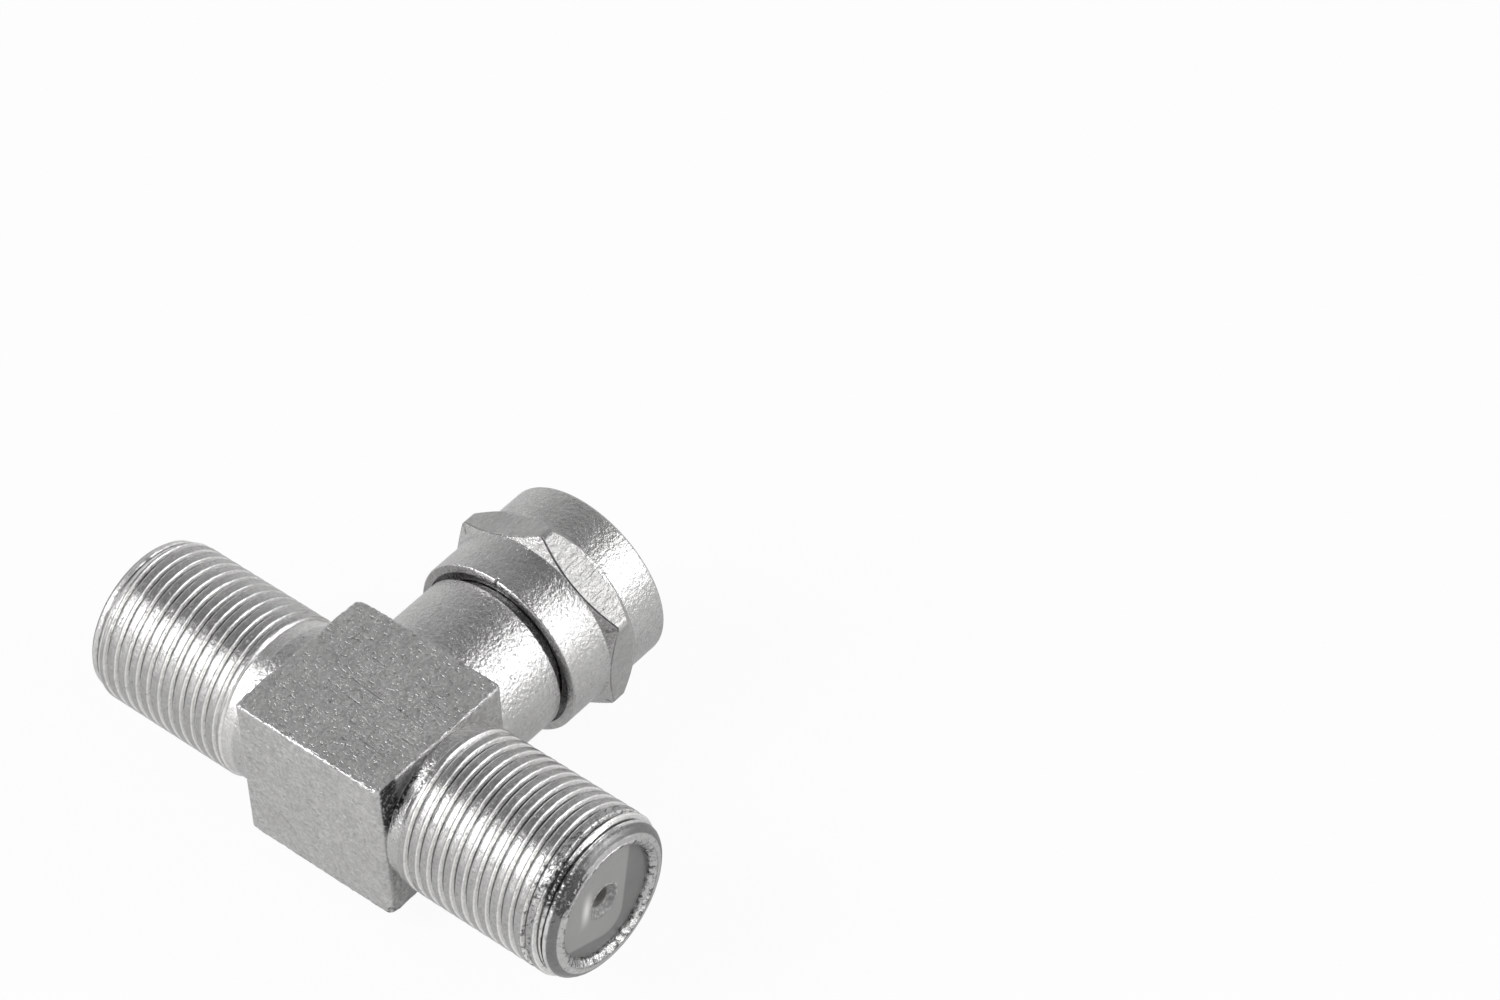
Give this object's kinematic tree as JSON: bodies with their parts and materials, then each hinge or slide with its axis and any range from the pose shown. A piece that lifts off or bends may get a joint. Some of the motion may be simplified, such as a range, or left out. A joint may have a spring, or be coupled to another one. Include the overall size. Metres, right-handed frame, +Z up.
{
  "type": "coaxial t-adapter",
  "caption": "T-shaped coaxial adapter: a screw-on plug with a hexagon coupling nut at right angles to a pair of in-line threaded sockets, all on one square cast block.",
  "frame": {"origin": "centre of the plug's mating face, on the plug axis where the centre pin leaves the insulator", "axes": "+Y out of the plug, +X out of the right port, +Z up and square to both; the two axes cross 11.9 mm behind the origin, in the block"},
  "size_m": [0.0327, 0.023, 0.0122],
  "materials": {
    "nickel_plate": "bright nickel plating over a fine cast grain, with bright worn edges",
    "nut_plate": "bright nickel plating over an orange-peel grain",
    "ring_bronze": "dull spring bronze",
    "contact_brass": "turned brass",
    "insulator": "slightly glossy, milky natural plastic"
  },
  "bodies": {
    "body": {"body": "nickel_plate", "junction_hub": "contact_brass", "plug_pin": "contact_brass", "plug_insulator": "insulator", "left_contact": "contact_brass", "right_contact": "contact_brass", "left_front_insulator": "insulator", "right_front_insulator": "insulator", "left_rear_insulator": "insulator", "right_rear_insulator": "insulator"},
    "ring": {"retaining_ring": "ring_bronze"},
    "nut": {"coupling_nut": "nut_plate"}
  },
  "joints": [
    {"name": "nut_float", "type": "slide", "parent": "body", "child": "ring", "axis": [0, 1, 0], "range_m": [-0.0003, 0]},
    {"name": "nut_spin", "type": "hinge", "parent": "ring", "child": "nut", "pos_m": [0, 0, 0], "axis": [0, 1, 0], "continuous": true}
  ]
}
